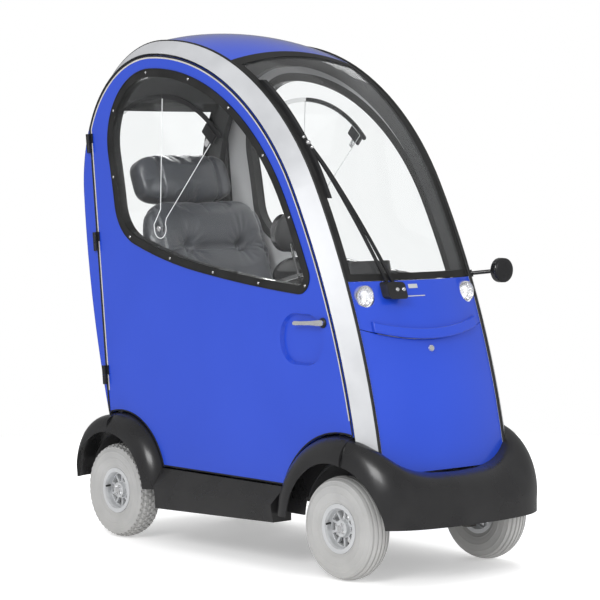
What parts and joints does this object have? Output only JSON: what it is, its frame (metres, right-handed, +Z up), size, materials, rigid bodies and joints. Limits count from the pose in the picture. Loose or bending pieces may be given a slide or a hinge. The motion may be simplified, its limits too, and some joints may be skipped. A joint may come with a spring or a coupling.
{
  "type": "enclosed mobility scooter",
  "caption": "Single-seat enclosed mobility scooter: arched blue cabin with glazed doors, silver hoops, black fenders and small grey wheels; doors, steering and wheels move.",
  "frame": {"origin": "on the ground, half-way between the axles, in the middle of the track", "axes": "+Z up, -Y forwards, +X to the vehicle's left"},
  "size_m": [0.7226, 1.5861, 1.6048],
  "materials": {
    "blue_paint": "high gloss coloured gel coat",
    "silver_band": "satin silver paint",
    "black_moulding": "satin moulded black",
    "seal_rubber": "matt extruded rubber",
    "clear_glazing": "polished clear sheet",
    "tyre_grey": "matt pale grey non-marking rubber",
    "rim_silver": "satin silver",
    "bright_chrome": "polished chrome",
    "frame_black": "semi-gloss black powder coat",
    "cast_alloy": "as cast",
    "black_leather": "soft grained leatherette",
    "floor_mat": "ribbed mat",
    "trim_black": "fine grained black",
    "mirror_black": "fine grained black with a mirror glass",
    "lamp_clear": "clear lens over a bright bowl",
    "lamp_red": "red lens"
  },
  "bodies": {
    "chassis": {"chassis_frame": "frame_black", "floor_pan": "floor_mat", "front_axle": "frame_black", "drive_unit": "cast_alloy", "batteries": "trim_black", "front_bumper": "black_moulding", "rear_bumper": "black_moulding", "sills": "black_moulding", "hoops": "silver_band", "hoop_seals": "seal_rubber", "quarter_panels": "blue_paint", "roof_panel": "blue_paint", "windscreen": "clear_glazing", "cowl": "blue_paint", "front_panel": "blue_paint", "rear_window": "clear_glazing", "rear_panel": "blue_paint", "headlamps": "lamp_clear", "tail_lamps": "lamp_red", "wiper": "trim_black", "mirror_left": "mirror_black", "dashboard": "trim_black", "seat_base": "frame_black", "seat_cushion": "black_leather", "seat_back": "black_leather", "headrest": "black_leather", "hinge_posts": "trim_black"},
    "right_door": {"door_right": "blue_paint", "window_gasket_right": "seal_rubber", "window_pane_right": "clear_glazing", "window_vent_right": "seal_rubber", "door_handle_right": "bright_chrome", "door_hinges_right": "trim_black"},
    "left_door": {"door_left": "blue_paint", "window_gasket_left": "seal_rubber", "window_pane_left": "clear_glazing", "window_vent_left": "seal_rubber", "door_handle_left": "bright_chrome", "door_hinges_left": "trim_black"},
    "tiller": {"tiller_column": "trim_black", "tiller_head": "trim_black", "tiller_mirrors": "mirror_black"},
    "right_knuckle": {"knuckle_right": "frame_black"},
    "left_knuckle": {"knuckle_left": "frame_black"},
    "front_right_wheel": {"tyre_front_right": "tyre_grey", "rim_front_right": "rim_silver"},
    "front_left_wheel": {"tyre_front_left": "tyre_grey", "rim_front_left": "rim_silver"},
    "rear_right_wheel": {"tyre_rear_right": "tyre_grey", "rim_rear_right": "rim_silver"},
    "rear_left_wheel": {"tyre_rear_left": "tyre_grey", "rim_rear_left": "rim_silver"}
  },
  "joints": [
    {"name": "right_door_hinge", "type": "hinge", "parent": "chassis", "child": "right_door", "pos_m": [-0.308, 0.598, 0.516], "axis": [0, -0.1045, -0.9945], "range_deg": [0, 75]},
    {"name": "left_door_hinge", "type": "hinge", "parent": "chassis", "child": "left_door", "pos_m": [0.308, 0.598, 0.516], "axis": [0, 0.1045, 0.9945], "range_deg": [0, 75]},
    {"name": "tiller_turn", "type": "hinge", "parent": "chassis", "child": "tiller", "pos_m": [0, -0.42, 0.225], "axis": [0, 0.229, 0.9734], "range_deg": [-35, 35]},
    {"name": "right_knuckle_steer", "type": "hinge", "parent": "chassis", "child": "right_knuckle", "pos_m": [-0.205, -0.534, 0.15], "axis": [0, 0, 1], "range_deg": [-28, 28]},
    {"name": "left_knuckle_steer", "type": "hinge", "parent": "chassis", "child": "left_knuckle", "pos_m": [0.205, -0.534, 0.15], "axis": [0, 0, 1], "range_deg": [-28, 28]},
    {"name": "front_right_wheel_spin", "type": "hinge", "parent": "right_knuckle", "child": "front_right_wheel", "pos_m": [-0.2785, -0.534, 0.15], "axis": [1, 0, 0], "continuous": true},
    {"name": "front_left_wheel_spin", "type": "hinge", "parent": "left_knuckle", "child": "front_left_wheel", "pos_m": [0.2785, -0.534, 0.15], "axis": [1, 0, 0], "continuous": true},
    {"name": "rear_right_wheel_spin", "type": "hinge", "parent": "chassis", "child": "rear_right_wheel", "pos_m": [-0.2785, 0.534, 0.15], "axis": [1, 0, 0], "continuous": true},
    {"name": "rear_left_wheel_spin", "type": "hinge", "parent": "chassis", "child": "rear_left_wheel", "pos_m": [0.2785, 0.534, 0.15], "axis": [1, 0, 0], "continuous": true}
  ],
  "couplings": [
    {"joint": "right_knuckle_steer", "follows": "tiller_turn", "ratio": 0.8},
    {"joint": "left_knuckle_steer", "follows": "tiller_turn", "ratio": 0.8}
  ]
}
